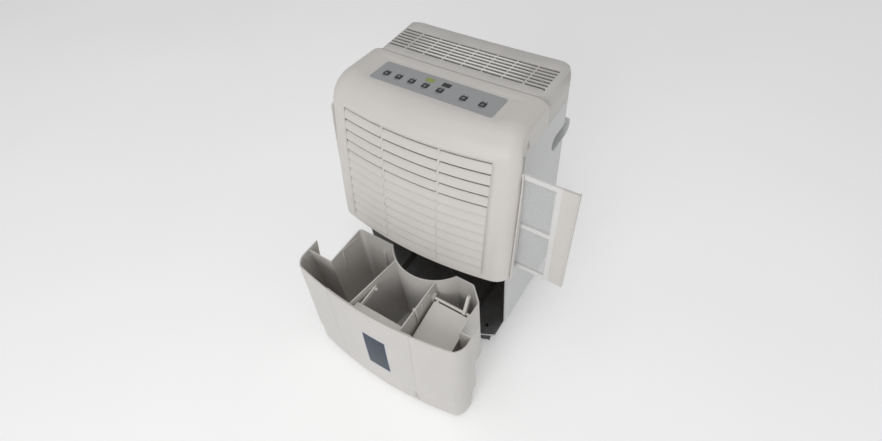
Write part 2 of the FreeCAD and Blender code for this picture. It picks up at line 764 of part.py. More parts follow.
def make_compressor():
    shell = body("Compressor")
    foot = "cab_floor + pan_thick + 14"
    profile = polygon(shell, "XZ_Plane", [
        ("0", foot), ("cover_radius - 12", foot), ("cover_radius - 12", foot + " + 3"),
        ("comp_radius", foot + " + 3"), ("comp_radius", "comp_high - 34"),
        ("comp_radius - 8", "comp_high - 18"), ("comp_radius - 26", "comp_high - 8"),
        ("0", "comp_high - 8"),
    ])
    turn = shell.newObject("PartDesign::Revolution", "Turn")
    turn.Profile = profile
    turn.ReferenceAxis = (base_plane(shell, "Z_Axis"), [""])
    turn.Angle = 360
    shell.Tip = turn
    keep(place(shell, "cover_x", "cover_y"), "compressor")
    feet = []
    for k in range(3):
        angle = math.radians(120 * k + 90)
        x = "cover_x + (cover_radius - 24)*%.4f" % math.cos(angle)
        y = "cover_y + (cover_radius - 24)*%.4f" % math.sin(angle)
        feet.append(rod("9", "14", x, y, "cab_floor + pan_thick", "z", "Foot"))
    keep(fuse(*feet), "compressor_feet")
    tank = body("Accumulator")
    ring = circle(tank, "XY_Plane", "0", "0", "19")
    pad(tank, ring, "120")
    soften(tank, "8", lambda e: level(e, 0) or level(e, 120))
    keep(place(tank, "cover_x - cover_radius - 24", "cover_y + 40", "cab_floor + pan_thick"),
         "accumulator")


def make_fan_scroll():
    """Housing of the fan: inlet in front, open above towards the top grille."""
    scroll = body("Scroll")
    reach = "fan_radius + scroll_gap"
    floor = "tray_low + deck_thick"
    outline = rectangle(scroll, "XZ_Plane", "-(%s)" % reach, reach, floor, "cab_top - 4",
                        "8 - fan_y")
    pad(scroll, outline, "fan_width + 16", reverse=True)
    inside = rectangle(scroll, "XZ_Plane", "3 - (%s)" % reach, "(%s) - 3" % reach,
                       "(%s) + 3" % floor, "cab_top", "5 - fan_y")
    pocket(scroll, inside, "fan_width + 10")
    inlet = circle(scroll, "XZ_Plane", "0", "fan_z", "fan_radius - 12", "9 - fan_y")
    pocket(scroll, inlet, "6")
    back = circle(scroll, "XZ_Plane", "0", "fan_z", "10", "-fan_y - fan_width - 2")
    pocket(scroll, back, "8")
    return keep(scroll, "fan_scroll")


def make_fan():
    """Impeller with its blades patterned about the shaft, the shaft and the motor."""
    wheel = body("Impeller")
    back = "-fan_y - fan_width"
    disc = circle(wheel, "XZ_Plane", "0", "0", "fan_radius", back)
    pad(wheel, disc, "2")
    hub = circle(wheel, "XZ_Plane", "0", "0", "14", back)
    pad(wheel, hub, "26")
    rim = circle(wheel, "XZ_Plane", "0", "0", "fan_radius", "-fan_y - 4")
    pad(wheel, rim, "4")
    eye = circle(wheel, "XZ_Plane", "0", "0", "fan_radius - 16", "-fan_y")
    pocket(wheel, eye, "4.5")
    blade = rectangle(wheel, "XZ_Plane", "fan_radius - 14", "fan_radius - 1", "-1", "1", back)
    first = pad(wheel, blade, "fan_width")
    doc.recompute()
    ring = wheel.newObject("PartDesign::PolarPattern", "Blades")
    ring.Originals = [first]
    ring.Axis = (base_plane(wheel, "Y_Axis"), [""])
    ring.Angle = 360
    ring.Occurrences = 30
    wheel.Tip = ring
    keep(place(wheel, "0", "0", "fan_z"), "fan_impeller")
    keep(rod("4", "24", "0", "fan_y + fan_width", "fan_z", "y", "Shaft"), "fan_shaft")
    motor = body("Motor")
    can = circle(motor, "XZ_Plane", "0", "fan_z", "motor_radius", "-fan_y - fan_width - 12")
    pad(motor, can, "motor_length", reverse=True)
    soften(motor, "4", lambda e: e.BoundBox.ZLength > 1.9 * size("motor_radius"))
    bore = circle(motor, "XZ_Plane", "0", "fan_z", "4.06", "-fan_y - fan_width - 12")
    pocket(motor, bore, "13")
    keep(motor, "fan_motor")
    y = "fan_y + fan_width + 12 + motor_length"
    keep(box("-motor_radius - 6", "motor_radius + 6", y, y + " + 4", "tray_low + deck_thick",
             "fan_z + 16", "Bracket"), "motor_bracket")


def make_electrics():
    deck = "tray_low + deck_thick"
    case = body("Electrics")
    outline = rectangle(case, "XY_Plane", "fan_radius + scroll_gap + 8",
                        "cab_width/2 - skin - 16", "-wall_y + 26", "-wall_y + 64", deck + " + 50")
    pad(case, outline, "100")
    soften(case, "4", upright)
    keep(case, "electrics_box")
    keep(rod("17", "76", "-(fan_radius + scroll_gap + 32)", "34", deck, "z", "Capacitor"),
         "run_capacitor")
    switch = body("Switch")
    outline = rectangle(switch, "XY_Plane", "tub_right - 12", "cab_width/2 - skin",
                        "-wall_y - 12", "-wall_y", "tub_rim - 34")
    pad(switch, outline, "30")
    keep(switch, "bucket_switch")


# ---- air filter ---------------------------------------------------------------------------------

def filter_box(x_low, x_high, thick, z_low, z_high):
    pull = size("filter_pull")
    y = size("filter_y")
    return slab(x_low + pull, x_high + pull, y - thick / 2, y + thick / 2, z_low, z_high)


def make_filter():
    left = size("filter_left")
    right = size("filter_right")
    low = size("filter_low")
    high = size("filter_high")
    thick = size("filter_thick")
    rim = size("filter_rim")
    middle = (low + high) / 2
    panel = right - size("cover_length")
    bays = [(low + rim, middle - rim / 2), (middle + rim / 2, high - rim)]
    frame = filter_box(left, panel, thick, low, high)
    for z_low, z_high in bays:
        frame = frame.cut(filter_box(left + rim, panel - rim, thick + 2, z_low, z_high))
    keep(computed(filter_turn(frame), "Frame"), "filter_frame")
    meshes = [filter_box(left + rim, panel - rim, 1.0, z_low, z_high) for z_low, z_high in bays]
    keep(computed(filter_turn(Part.makeCompound(meshes)), "Mesh"), "filter_mesh")
    cover = filter_box(panel, right, thick, low, high)
    lip = filter_box(right - size("cover_lip"), right, thick + 5, low, high)
    keep(computed(filter_turn(cover.fuse(lip).removeSplitter()), "Cover"), "filter_cover")


def make_filter_guides():
    """Upper and lower channels that hold the filter inside the cabinet."""
    left = size("filter_left") - 6
    right = size("cab_width") / 2 - size("skin") - 0.5
    y = size("filter_y")
    gap = size("slot_gap")
    wide = size("filter_thick") / 2 + gap
    low = size("filter_low") - gap
    high = size("filter_high") + gap
    floor = slab(left, right, y - wide - 2, y + wide + 2, low - 1.4, low + 6)
    roof = slab(left, right, y - wide - 2, y + wide + 2, high - 6, high + 2)
    stop = slab(left - 2, left, y - wide - 2, y + wide + 2, low - 1.4, high + 2)
    guide = floor.multiFuse([roof, stop]).cut(slab(left, right + 1, y - wide, y + wide, low, high))
    keep(computed(filter_turn(guide.removeSplitter()), "Guides"), "filter_guides")


# ---- bucket --------------------------------------------------------------------------------------

def bucket_side(rim):
    """Side outline of the bucket's front skin with its slanted rear edge."""
    return side_view([
        (-400, size("skirt_low")), (-size("return_low"), size("skirt_low")),
        (-size("return_high"), rim), (-400, rim),
    ])


def bucket_front(inset, low, high):
    """Solid behind the bucket's front face at an inset, between two heights."""
    half = size("hood_width") / 2
    block = front_block(inset, low, 150).common(slab(-half, half, -400, 150, low, high))
    return block.common(cornered(half - inset, size("front_corner") - inset, low, high, inset))


def front_wall(inset, thick, low, high):
    return bucket_front(inset, low, high).cut(bucket_front(inset + thick, low - 1, high + 1))


def plan_prism(points, low, high):
    wire = Part.makePolygon([V(x, y, low) for x, y in points + points[:1]])
    return Part.Face(wire).extrude(V(0, 0, high - low))


def pulled(shape):
    shape.translate(V(0, -size("bucket_pull"), 0))
    return shape


def left_part_x(depth):
    """X of the slanted left partition's inner face at a depth in the parked bucket."""
    front = -(size("front_reach") - 27)
    back = -(size("tub_back") + 33)
    share = (depth - front) / (back - front)
    return size("left_part_front") + share * (size("left_part_back") - size("left_part_front"))


def tub_rear(inset, low, high):
    """Narrow rear part of the tub, with its chamfered corner and the compressor notch."""
    back = -size("tub_back") - inset
    right = size("tub_right") - inset
    left = -size("tub_left") + inset
    slope = size("tub_chamfer") - inset * 0.4
    front = -size("tub_step") - (20 if inset else 0)
    outline = plan_prism([(left, front), (right, front), (right, back - slope),
                          (right - slope, back), (left, back)], low, high)
    posts = [e for e in outline.Edges if upright(e) and e.BoundBox.YMin > front + 1]
    outline = outline.makeFillet(9 - inset, posts)
    notch = Part.makeCylinder(size("cover_radius") + size("cover_gap") + inset, high - low,
                              V(size("cover_x"), size("cover_y"), low))
    return outline.cut(notch)


def window_block(grow):
    """Outline of the level window run back through the front wall."""
    x = size("window_x")
    half = size("window_width") / 2 + grow
    front = -size("front_reach")
    return slab(x - half, x + half, front - 20, front + 40, size("window_low") - grow,
                size("window_high") + grow)


def float_lugs():
    """Bored lugs in the right compartment that carry the float's bar."""
    y = size("float_y")
    z = size("float_z")
    left = size("mid_part") + size("tub_wall")
    right = size("tub_right") - size("tub_wall")
    lugs = slab(left - 1, left + 5, y - 7, y + 7, z - 8, z + 7)
    lugs = lugs.fuse(slab(right - 5, right + 1, y - 7, y + 7, z - 8, z + 7))
    bore = size("peg_radius") + size("pin_gap")
    return lugs.cut(Part.makeCylinder(bore, right - left, V(left, y, z), V(1, 0, 0)))


def make_bucket_tub():
    wall = size("tub_wall")
    skirt = size("skirt_low")
    rim = size("rim")
    tub_rim = size("tub_rim")
    floor = size("tub_floor")
    half = size("hood_width") / 2
    step = -size("tub_step")
    front = -size("front_reach") - 10
    back = -size("tub_back")
    behind = size("panel_thick") + size("panel_gap") / 2
    wide = slab(-half, half, -400, step, floor, tub_rim).common(bucket_front(0, floor, tub_rim))
    outer = wide.fuse(tub_rear(0, floor, tub_rim))
    room = bucket_front(wall, floor + wall, rim + 20)
    room = room.common(slab(-half, half, -400, step - wall, floor + wall, rim + 20))
    room = room.fuse(tub_rear(wall, floor + wall, rim + 20))
    mid = size("mid_part")
    parting = plan_prism([
        (left_part_x(front) - wall, front), (left_part_x(front), front),
        (left_part_x(back), back), (left_part_x(back) - wall, back)], floor, tub_rim - 3)
    parting = parting.fuse(slab(mid, mid + wall, front, back, floor, tub_rim - 3))
    skin = front_wall(0, wall, skirt, rim).common(bucket_side(rim))
    tub = outer.cut(room.cut(parting)).fuse(skin)
    edge = size("panel_half") + size("panel_gap")
    seat = front_wall(-2, behind + 2, skirt - 1, rim + 1)
    tub = tub.cut(seat.common(slab(-edge, edge, -400, 0, 0, 400)))
    backing = front_wall(behind, wall, skirt, rim - 1.5)
    tub = tub.fuse(backing.common(slab(-edge - wall, edge + wall, -400, 0, 0, 400)))
    y = size("pivot_y")
    z = size("pivot_z")
    peg = size("peg_radius")
    start = left_part_x(y) - wall / 2
    pegs = [Part.makeCylinder(peg, 11, V(start, y, z), V(1, 0, 0)),
            Part.makeCylinder(peg, 11, V(mid - 10, y, z), V(1, 0, 0))]
    tub = tub.multiFuse(pegs + [float_lugs()]).cut(window_block(-4))
    keep(computed(pulled(tub.removeSplitter()), "Tub"), "bucket_tub")


def make_bucket_front():
    """Applied centre panel of the bucket and the level window that fills its opening."""
    half = size("panel_half")
    thick = size("panel_thick")
    skirt = size("skirt_low")
    rim = size("rim")
    field = slab(-half, half, -400, 0, skirt, rim)
    panel = front_wall(0, thick, skirt, rim).common(field).cut(window_block(0))
    keep(computed(pulled(panel), "Panel"), "bucket_panel")
    pane = front_wall(0.4, thick - 0.4, skirt, rim).common(window_block(-size("fit_gap") / 2))
    keep(computed(pulled(pane), "Pane"), "level_window")


def make_bucket_handle():
    """Bail that lies forward in the middle compartment and swings up about two pegs."""
    y = size("pivot_y")
    z = size("pivot_z")
    far = y - size("grip_reach")
    left = size("grip_left")
    right = size("grip_right")
    bore = size("peg_radius") + size("pin_gap")
    grip = slab(left, right, far - 8.5, far + 8.5, z - 8, z + 7)
    grip = grip.makeFillet(3.4, [e for e in grip.Edges if e.BoundBox.XLength > 50])
    pieces = []
    for x in (left_part_x(y) + 1.4, size("mid_part") - 6):
        arm = slab(x, x + 3, far, y, z - 5, z + 5)
        arm = arm.fuse(Part.makeCylinder(7, 3, V(x, y, z), V(1, 0, 0)))
        pieces.append(arm.cut(Part.makeCylinder(bore, 3, V(x, y, z), V(1, 0, 0))))
    bail = grip.multiFuse(pieces).removeSplitter()
    keep(computed(pulled(bail), "Bail"), "bucket_handle")


def make_float():
    """Float that rises with the water and tips the lever on its bar."""
    y = size("float_y")
    z = size("float_z")
    left = size("mid_part") + size("tub_wall") + size("fit_gap")
    right = size("tub_right") - size("tub_wall") - size("fit_gap")
    middle = (left + right) / 2
    half = size("float_width") / 2
    long = size("float_length")
    deep = size("float_thick")
    tank = slab(middle - half, middle + half, y - 6 - long, y - 6, z - deep, z)
    tank = tank.makeFillet(5, [e for e in tank.Edges if upright(e)])
    ears = [slab(x, x + 4, y - 10, y, z - 6, z) for x in (middle - half + 4, middle + half - 8)]
    bar = Part.makeCylinder(size("peg_radius"), right - left, V(left, y, z), V(1, 0, 0))
    tip = plan_prism([(0, 0), (28, 34), (22, 38), (-6, 8)], 0, 6)
    tip.rotate(V(), V(1, 1, 1), 120)
    tip.translate(V(right - 24, y, z))
    arm = bar.multiFuse(ears + [tip]).cut(tank)
    for shape, name, label in ((tank, "Tank", "float_tank"), (arm, "Arm", "float_arm")):
        shape.rotate(V(0, y, z), V(1, 0, 0), size("float_slope"))
        keep(computed(pulled(shape), name), label)


# ---- casters and rear fittings --------------------------------------------------------------------

CASTERS = [("front_left", -1, -1, 35), ("front_right", 1, -1, 100),
           ("rear_left", -1, 1, -60), ("rear_right", 1, 1, 15)]


def make_casters():
    r = size("wheel_radius")
    half = size("wheel_width") / 2
    trail = size("trail")
    top = size("cab_floor")
    stem = size("stem_radius")
    axle = size("axle_radius")
    gap = size("pin_gap")
    cheek = half + 1
    crown = r + r + 3
    sockets = []
    for label, side, row, turn in CASTERS:
        y = -size("caster_front") if row < 0 else size("caster_back")
        post = V(side * size("caster_x"), y, 0)
        socket = Part.makeCylinder(12, top - crown - 5, post + V(0, 0, crown + 5))
        sockets.append(socket.cut(Part.makeCylinder(stem + gap, 60, post)))
        hoop = Part.makeCylinder(r + 3, 2 * cheek + 5, V(-cheek - 2.5, trail, r), V(1, 0, 0))
        hoop = hoop.common(slab(-40, 40, -60, 60, r - 5, crown + 1))
        hoop = hoop.cut(Part.makeCylinder(r + 1.5, 2 * cheek, V(-cheek, trail, r), V(1, 0, 0)))
        hoop = hoop.cut(slab(-cheek, cheek, -60, 60, 0, r))
        yoke = hoop.fuse(slab(-cheek - 2.5, cheek + 2.5, -9, trail, crown - 6, crown + 4))
        yoke = yoke.cut(Part.makeCylinder(r + 1.5, 2 * cheek, V(-cheek, trail, r), V(1, 0, 0)))
        yoke = yoke.fuse(Part.makeCylinder(stem, top + 4 - crown, V(0, 0, crown)))
        yoke = yoke.cut(Part.makeCylinder(axle + gap, 60, V(-30, trail, r), V(1, 0, 0)))
        tread = Part.makeCylinder(r, 2 * half, V(-half, trail, r), V(1, 0, 0))
        tread = tread.makeFillet(3, [e for e in tread.Edges if e.BoundBox.ZLength > r])
        pin = Part.makeCylinder(axle, 2 * cheek + 5, V(-cheek - 2.5, trail, r), V(1, 0, 0))
        for shape, kind in ((yoke, "caster_fork_"), (tread.fuse(pin), "caster_wheel_")):
            shape.rotate(V(), V(0, 0, 1), turn)
            shape.translate(post)
            keep(computed(shape.removeSplitter(), "Caster"), kind + label)
    keep(computed(Part.makeCompound(sockets), "Sockets"), "caster_sockets")


def make_rear_fittings():
    rear = size("cab_rear")
    port = body("Port")
    flange = circle(port, "XZ_Plane", "port_x", "port_z", "port_radius + 5", "-cab_rear")
    pad(port, flange, "3", reverse=True)
    spigot = circle(port, "XZ_Plane", "port_x", "port_z", "port_radius", "skin - cab_rear")
    pad(port, spigot, "port_length + skin", reverse=True)
    bore = circle(port, "XZ_Plane", "port_x", "port_z", "port_bore", "skin - cab_rear")
    pocket(port, bore, "port_length + skin + 1", reverse=False)
    keep(port, "drain_port")
    gland = body("Gland")
    collar = circle(gland, "XZ_Plane", "gland_x", "gland_z", "gland_radius + 4", "-cab_rear")
    pad(gland, collar, "4", reverse=True)
    neck = circle(gland, "XZ_Plane", "gland_x", "gland_z", "gland_radius", "skin - cab_rear")
    pad(gland, neck, "skin + 1", reverse=True)
    bore = circle(gland, "XZ_Plane", "gland_x", "gland_z", "cord_bore", "skin - cab_rear")
    pocket(gland, bore, "skin + 5", reverse=False)
    keep(gland, "cord_gland")
    heads = []
    for x in ("45 - cab_width/2", "0", "cab_width/2 - 45"):
        for z in ("cab_floor + 14", "cab_top - 22"):
            heads.append(rod("screw_head", "1.8", x, "cab_rear", z, "y", "Screw"))
    keep(fuse(*heads), "rear_screws")


for make in (make_hood, make_top_cap, make_control_strip, make_keys, make_control_board,
             make_base_pan, make_cabinet_shell, make_handle_cups, make_bulkhead,
             make_deck_and_tray, make_runners, make_coils, make_refrigerant_lines,
             make_compressor, make_fan_scroll, make_fan, make_electrics, make_filter,
             make_filter_guides, make_bucket_tub, make_bucket_front, make_bucket_handle,
             make_float, make_casters, make_rear_fittings):
    make()
doc.recompute()

faults = [o.Label for o in doc.Objects if {"Invalid", "Error"} & set(o.State)]
faults += [p.Label for p in parts if p.Shape.isNull() or not p.Shape.isValid()]
if faults:
    raise RuntimeError("these objects failed: " + ", ".join(faults))
os.makedirs("parts", exist_ok=True)
for part in parts:
    part.Shape.exportStep("parts/%s.step" % part.Label)
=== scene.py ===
import math

import bpy
from mathutils import Matrix, Vector


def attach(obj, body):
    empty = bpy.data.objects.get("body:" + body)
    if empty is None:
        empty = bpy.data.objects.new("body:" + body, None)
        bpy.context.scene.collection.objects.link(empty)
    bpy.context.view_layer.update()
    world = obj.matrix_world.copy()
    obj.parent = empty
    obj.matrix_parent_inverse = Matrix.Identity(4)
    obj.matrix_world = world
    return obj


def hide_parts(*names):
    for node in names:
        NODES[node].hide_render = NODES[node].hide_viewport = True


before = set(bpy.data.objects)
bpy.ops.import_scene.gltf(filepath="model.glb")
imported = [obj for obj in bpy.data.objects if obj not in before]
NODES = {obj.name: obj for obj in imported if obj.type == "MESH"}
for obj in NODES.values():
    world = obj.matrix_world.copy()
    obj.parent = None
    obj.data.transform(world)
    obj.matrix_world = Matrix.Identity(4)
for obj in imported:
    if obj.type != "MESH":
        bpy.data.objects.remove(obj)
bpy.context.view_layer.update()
scene = bpy.context.scene
MM = 0.001

# ---- sizes of the front shape, in millimetres ------------------------------------------------
REACH, SWELL, SWELL_Z, BOW = 218.4, 2584.0, -30.0, 900.0
CREST, FALL, SHOULDER = 612.0, 0.07, 60.0
HALF, HOOD_LOW, SEAM_Y = 203.0, 303.0, 4.4
REAR_HALF, WAIST_FRONT, WAIST_BACK = 188.2, -128.0, -86.0
AXIS_Y = BOW - REACH
PULL = 159.0
LOUVRE_HALF, POST_X, PITCH, ROWS = 155.0, 60.0, 21.7, 12
HOLE_TOP = 570.0
HOLE_LOW = HOLE_TOP - PITCH * ROWS
OPEN_ROWS = 5
REST_HALF, REST_FRONT, REST_BACK, REST_DEPTH = 150, -97, -10, 0.8
BAR_FIRST, BAR_PITCH, BARS, BAR_HALF = 34.75, 9.9, 6, 165
FILTER_Y, FILTER_MIDDLE, FILTER_SLOPE = -119.5, 430, 0.0524
NET_LEFT, NET_RIGHT, NET_PITCH, STRAND = -28, 261, 3.6, 0.32
ICON_SCALE = 0.7
CAMERA_FIT = (38.52, 50.6, -7.28, (0.44005, -0.63983, 1.14407), 510.06)


# ---- materials ---------------------------------------------------------------------------------

def new_material(name):
    mat = bpy.data.materials.new(name)
    mat.use_nodes = True
    tree = mat.node_tree
    tree.nodes.clear()
    out = tree.nodes.new("ShaderNodeOutputMaterial")
    bsdf = tree.nodes.new("ShaderNodeBsdfPrincipled")
    tree.links.new(bsdf.outputs[0], out.inputs[0])
    return mat, tree, bsdf


def coords(tree, scale):
    tex = tree.nodes.new("ShaderNodeTexCoord")
    mapping = tree.nodes.new("ShaderNodeMapping")
    mapping.inputs["Scale"].default_value = scale if isinstance(scale, tuple) else (scale,) * 3
    tree.links.new(tex.outputs["Object"], mapping.inputs["Vector"])
    return mapping.outputs["Vector"]


def noise(tree, scale, detail=3.0, rough=0.5):
    node = tree.nodes.new("ShaderNodeTexNoise")
    tree.links.new(coords(tree, scale), node.inputs["Vector"])
    node.inputs["Scale"].default_value = 1.0
    node.inputs["Detail"].default_value = detail
    node.inputs["Roughness"].default_value = rough
    return node.outputs["Fac"]


def ramp(tree, fac, stops):
    node = tree.nodes.new("ShaderNodeValToRGB")
    tree.links.new(fac, node.inputs["Fac"])
    els = node.color_ramp.elements
    els[0].position, els[0].color = stops[0][0], (*stops[0][1], 1)
    els[1].position, els[1].color = stops[-1][0], (*stops[-1][1], 1)
    for pos, col in stops[1:-1]:
        e = els.new(pos)
        e.color = (*col, 1)
    return node.outputs["Color"]


def shade(col, k):
    return tuple(min(1.0, c * k) for c in col)


def remap(tree, fac, low, high):
    node = tree.nodes.new("ShaderNodeMapRange")
    tree.links.new(fac, node.inputs["Value"])
    node.inputs["To Min"].default_value = low
    node.inputs["To Max"].default_value = high
    return node.outputs["Result"]


def bump(tree, bsdf, height, distance, strength=1.0):
    node = tree.nodes.new("ShaderNodeBump")
    node.inputs["Strength"].default_value = strength
    node.inputs["Distance"].default_value = distance
    tree.links.new(height, node.inputs["Height"])
    tree.links.new(node.outputs["Normal"], bsdf.inputs["Normal"])


def moulded(name, col, rough=0.42, grain=900.0, depth=0.00006, vary=0.025, spec=0.5, scuff=0.05):
    """Moulded plastic: fine spark-erosion grain, faint flow clouds, uneven gloss."""
    mat, tree, bsdf = new_material(name)
    cloud = noise(tree, 9.0, 4.0, 0.6)
    tree.links.new(ramp(tree, cloud, [(0.3, shade(col, 1 - vary)), (0.7, shade(col, 1 + vary))]),
                   bsdf.inputs["Base Color"])
    tree.links.new(remap(tree, noise(tree, 35.0, 5.0, 0.65), rough - scuff, rough + scuff),
                   bsdf.inputs["Roughness"])
    bsdf.inputs["Specular IOR Level"].default_value = spec
    bump(tree, bsdf, noise(tree, grain, 2.0, 0.5), depth)
    return mat


def metal(name, col, rough=0.35, stretch=(40.0, 40.0, 900.0), depth=0.00003):
    mat, tree, bsdf = new_material(name)
    lines = noise(tree, stretch, 3.0, 0.6)
    tree.links.new(ramp(tree, lines, [(0.25, shade(col, 0.86)), (0.75, shade(col, 1.08))]),
                   bsdf.inputs["Base Color"])
    tree.links.new(remap(tree, lines, rough - 0.08, rough + 0.1), bsdf.inputs["Roughness"])
    bsdf.inputs["Metallic"].default_value = 1.0
    bump(tree, bsdf, lines, depth)
    return mat


def painted(name, col, rough=0.38):
    """Powder coat: orange-peel bump over sheet steel."""
    mat, tree, bsdf = new_material(name)
    cloud = noise(tree, 6.0, 3.0, 0.5)
    tree.links.new(ramp(tree, cloud, [(0.3, shade(col, 0.98)), (0.7, shade(col, 1.02))]),
                   bsdf.inputs["Base Color"])
    tree.links.new(remap(tree, noise(tree, 50.0, 4.0, 0.6), rough - 0.05, rough + 0.06),
                   bsdf.inputs["Roughness"])
    bump(tree, bsdf, noise(tree, 420.0, 3.0, 0.55), 0.0001)
    return mat


def finned(name, col, pitch):
    """Closely stacked pressed fins of a coil, with painted shade in the gaps between the fins."""
    mat, tree, bsdf = new_material(name)
    wave = tree.nodes.new("ShaderNodeTexWave")
    tree.links.new(coords(tree, 1.0), wave.inputs["Vector"])
    wave.bands_direction = "X"
    wave.inputs["Scale"].default_value = 1.0 / pitch / 3.1416 / 2
    wave.inputs["Distortion"].default_value = 0.2
    # the dark end of the ramp is painted shade in the gaps between fins
    tree.links.new(ramp(tree, wave.outputs["Fac"], [(0.2, shade(col, 0.25)), (0.8, col)]),
                   bsdf.inputs["Base Color"])
    bsdf.inputs["Metallic"].default_value = 0.9
    bsdf.inputs["Roughness"].default_value = 0.4
    bump(tree, bsdf, wave.outputs["Fac"], 0.0006)
    return mat


def glowing(name, col, strength):
    mat, tree, bsdf = new_material(name)
    cells = noise(tree, 300.0, 2.0, 0.5)
    tree.links.new(ramp(tree, cells, [(0.3, shade(col, 0.85)), (0.7, shade(col, 1.1))]),
                   bsdf.inputs["Base Color"])
    bsdf.inputs["Emission Color"].default_value = (*col, 1)
    bsdf.inputs["Emission Strength"].default_value = strength
    bsdf.inputs["Roughness"].default_value = 0.2
    return mat


WARM = moulded("warm_white_plastic", (0.66, 0.635, 0.605), 0.40)
CAP = moulded("cap_plastic", (0.60, 0.58, 0.555), 0.40)
# the outlet bars are the cap's plastic; this lighter copy is a painted highlight on them
SLAT_PAINTED_HIGHLIGHT = moulded("outlet_slat_painted_highlight", (0.84, 0.82, 0.79), 0.42)
CABINET = painted("cabinet_powder_coat", (0.62, 0.63, 0.625), 0.36)
BUCKET = moulded("bucket_plastic", (0.62, 0.60, 0.575), 0.40)
CREAM = moulded("handle_plastic", (0.73, 0.70, 0.66), 0.45, 500.0, 0.00008)
BAY = moulded("bay_plastic", (0.085, 0.074, 0.066), 0.50, 600.0, 0.00008)
PANEL = moulded("strip_film", (0.36, 0.37, 0.375), 0.34, 1500.0, 0.00002)
KEY = moulded("key_rubber", (0.035, 0.037, 0.04), 0.45)
ICON = moulded("key_print", (0.50, 0.52, 0.53), 0.5)
LIT = glowing("display_lit", (0.22, 0.26, 0.07), 0.25)
DARK_LENS = moulded("display_dark", (0.03, 0.035, 0.03), 0.15)
BLACK = moulded("black_plastic", (0.018, 0.018, 0.019), 0.40)
TYRE = moulded("caster_tyre", (0.012, 0.012, 0.013), 0.55, 400.0, 0.0001)
RUBBER = moulded("rubber", (0.02, 0.02, 0.02), 0.7, 500.0, 0.0001)
ZINC = metal("zinc_plate", (0.55, 0.56, 0.57), 0.38)
COPPER = metal("copper_tube", (0.62, 0.27, 0.14), 0.32)
FINS = finned("coil_fins", (0.62, 0.64, 0.66), 0.0018)
ENAMEL = moulded("compressor_enamel", (0.02, 0.02, 0.021), 0.25)
BOARD = moulded("circuit_board", (0.02, 0.12, 0.05), 0.4)
FOAM = moulded("float_plastic", (0.72, 0.70, 0.67), 0.48, 700.0, 0.00007)
NET = moulded("filter_net", (0.66, 0.67, 0.67), 0.55)
FRAME_WHITE = moulded("filter_frame_plastic", (0.72, 0.715, 0.70), 0.42)
BLUE = moulded("window_tint", (0.002, 0.020, 0.048), 0.22, spec=0.15)
TRIM = moulded("window_trim", (0.62, 0.62, 0.72), 0.3)

LOOKS = {
    "front_hood": WARM, "top_cap": CAP, "control_strip": PANEL, "display_humidity": LIT,
    "display_status": DARK_LENS, "control_board": BOARD, "base_pan": ZINC,
    "cabinet_shell": CABINET, "handle_cup_left": CABINET, "handle_cup_right": CABINET,
    "bulkhead": BAY, "mid_deck": BAY, "drip_tray": BAY, "bucket_runners": BAY,
    "evaporator_coil": FINS, "condenser_coil": FINS, "refrigerant_lines": COPPER,
    "compressor": ENAMEL, "compressor_feet": RUBBER, "accumulator": COPPER, "fan_scroll": BAY,
    "fan_motor": ZINC, "motor_bracket": ZINC, "electrics_box": BAY, "run_capacitor": ZINC,
    "bucket_switch": BLACK, "filter_guides": FRAME_WHITE, "caster_sockets": BLACK,
    "drain_port": CABINET, "cord_gland": RUBBER, "rear_screws": ZINC, "fan_impeller": BAY,
    "fan_shaft": ZINC, "filter_frame": FRAME_WHITE, "filter_mesh": NET, "filter_cover": WARM,
    "bucket_tub": BUCKET, "bucket_panel": BUCKET, "level_window": BLUE, "bucket_handle": CREAM,
    "float_tank": FOAM, "float_arm": CREAM,
}
for name, obj in NODES.items():
    look = LOOKS.get(name)
    if look is None:
        look = KEY if name.startswith("key_") else BLACK if "fork" in name else TYRE
    obj.data.materials.clear()
    obj.data.materials.append(look)


# ---- mesh helpers -----------------------------------------------------------------------------------

def add_mesh(name, verts, faces, mat, body, smooth=True, angle=40.0):
    """One mesh from points in millimetres, riding on a body."""
    data = bpy.data.meshes.new(name)
    data.from_pydata([Vector(v) * MM for v in verts], [], faces)
    data.update()
    obj = bpy.data.objects.new(name, data)
    scene.collection.objects.link(obj)
    data.materials.append(mat)
    if smooth:
        for poly in data.polygons:
            poly.use_smooth = True
        data.set_sharp_from_angle(angle=math.radians(angle))
    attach(obj, body)
    return obj


def modify(obj, kind, **values):
    mod = obj.modifiers.new(kind.title(), kind)
    for key, value in values.items():
        setattr(mod, key, value)
    return mod


def soft_edges(obj, width=0.6, angle=45.0, segments=2):
    return modify(obj, "BEVEL", width=width * MM, segments=segments, limit_method="ANGLE",
                  angle_limit=math.radians(angle), harden_normals=False)


